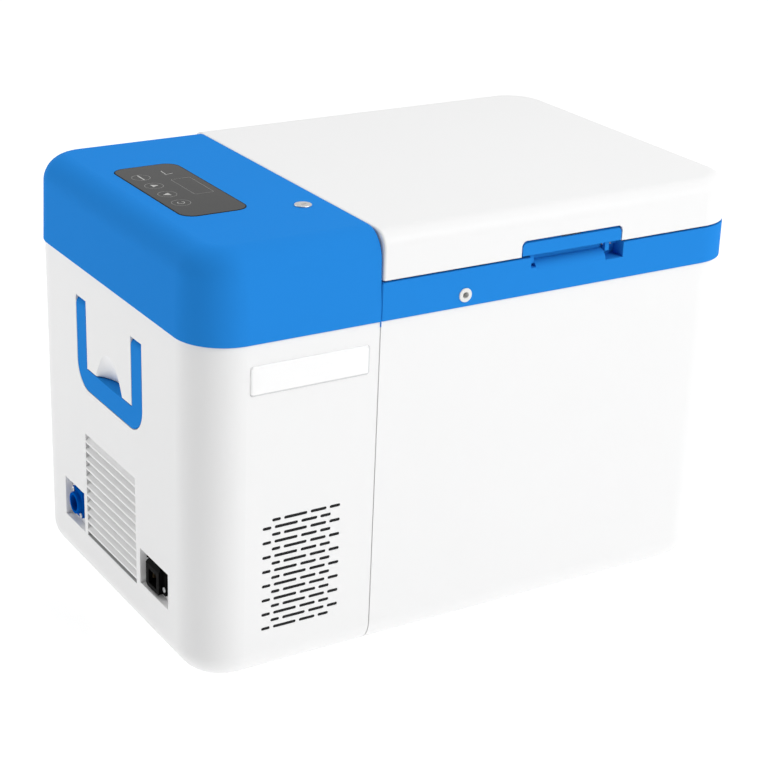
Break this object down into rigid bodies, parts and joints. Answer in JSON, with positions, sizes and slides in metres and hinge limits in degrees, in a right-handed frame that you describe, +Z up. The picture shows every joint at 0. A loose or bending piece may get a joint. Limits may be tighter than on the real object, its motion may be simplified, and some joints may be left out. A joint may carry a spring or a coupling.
{
  "type": "portable ultra-low freezer",
  "caption": "Portable chest freezer: blue cap with a touch panel over the machine side, white latched lid over a cold well, carry handles, side louvre and two power inlets.",
  "frame": {"origin": "on the floor, under the centre of the whole outline", "axes": "+X along the front towards the lid side, +Y from front to back, +Z up"},
  "size_m": [0.64, 0.4226, 0.46],
  "materials": {
    "white_shell": "satin",
    "blue_shell": "satin",
    "control_glass": "gloss",
    "display": "gloss",
    "nameplate": "gloss",
    "silver_metal": "polished",
    "steel": "satin",
    "screw_steel": "polished",
    "hinge_finish": "satin",
    "liner_metal": "satin",
    "foam": "matte",
    "inner_plastic": "satin",
    "rubber": "matte",
    "port_white": "satin",
    "inlet_blue": "satin",
    "inlet_black": "satin",
    "contact_brass": "satin",
    "copper": "satin",
    "compressor_black": "satin",
    "condenser_metal": "satin",
    "fan_black": "matte",
    "circuit_board": "satin"
  },
  "bodies": {
    "cabinet": {"ac_contacts": "contact_brass", "ac_inlet": "inlet_blue", "base_plate": "steel", "board_standoffs": "contact_brass", "cabinet_insulation": "foam", "collar_band": "blue_shell", "compressor": "compressor_black", "compressor_mounts": "rubber", "condenser": "condenser_metal", "control_board": "circuit_board", "control_glass": "control_glass", "dc_contacts": "contact_brass", "dc_inlet": "inlet_black", "discharge_line": "copper", "display_board": "circuit_board", "display_module": "display", "evaporator_jacket": "liner_metal", "fan_frame": "fan_black", "filter_drier": "copper", "foot_screws": "steel", "front_plate": "nameplate", "handle_pins_left": "steel", "handle_pins_right": "steel", "hinge_base_screws": "steel", "hinge_bases": "hinge_finish", "hinge_pins": "steel", "inlet_screws": "screw_steel", "inner_liner": "liner_metal", "keeper_screws": "steel", "key_switch_body": "silver_metal", "key_switch_nut": "silver_metal", "latch_keeper": "steel", "liquid_line": "copper", "machine_housing": "white_shell", "outlet_line": "copper", "power_supply": "condenser_metal", "probe_port": "port_white", "rubber_feet": "rubber", "storage_casing": "white_shell", "suction_line": "copper", "top_cap": "blue_shell"},
    "lid": {"lid_shell": "white_shell", "lid_liner": "inner_plastic", "lid_insulation": "foam", "lid_gasket": "rubber", "hinge_leaves": "hinge_finish", "hinge_leaf_screws": "steel", "latch_pin": "steel", "latch_spring": "steel"},
    "latch": {"latch_paddle": "blue_shell"},
    "carry_left": {"handle_left": "blue_shell"},
    "carry_right": {"handle_right": "blue_shell"},
    "fan": {"fan_rotor": "fan_black"},
    "key": {"key_barrel": "silver_metal"}
  },
  "joints": [
    {"name": "lid_hinge", "type": "hinge", "parent": "cabinet", "child": "lid", "pos_m": [0.09725, 0.20635, 0.4084], "axis": [-1, 0, 0], "range_deg": [0, 90]},
    {"name": "latch_turn", "type": "hinge", "parent": "lid", "child": "latch", "pos_m": [0.09725, -0.20365, 0.4207], "axis": [-1, 0, 0], "range_deg": [0, 20], "stiffness_Nm_per_rad": 0.06, "springref_deg": -14.32},
    {"name": "left_handle_turn", "type": "hinge", "parent": "cabinet", "child": "carry_left", "pos_m": [-0.3105, -0.00195, 0.325], "axis": [0, 1, 0], "range_deg": [0, 90]},
    {"name": "right_handle_turn", "type": "hinge", "parent": "cabinet", "child": "carry_right", "pos_m": [0.3105, -0.00195, 0.325], "axis": [0, -1, 0], "range_deg": [0, 90]},
    {"name": "fan_spin", "type": "hinge", "parent": "cabinet", "child": "fan", "pos_m": [-0.298, 0.0012, 0.1231], "axis": [1, 0, 0], "continuous": true},
    {"name": "key_turn", "type": "hinge", "parent": "cabinet", "child": "key", "pos_m": [-0.1536, -0.10335, 0.4585], "axis": [0, 0, -1], "range_deg": [0, 90]}
  ]
}
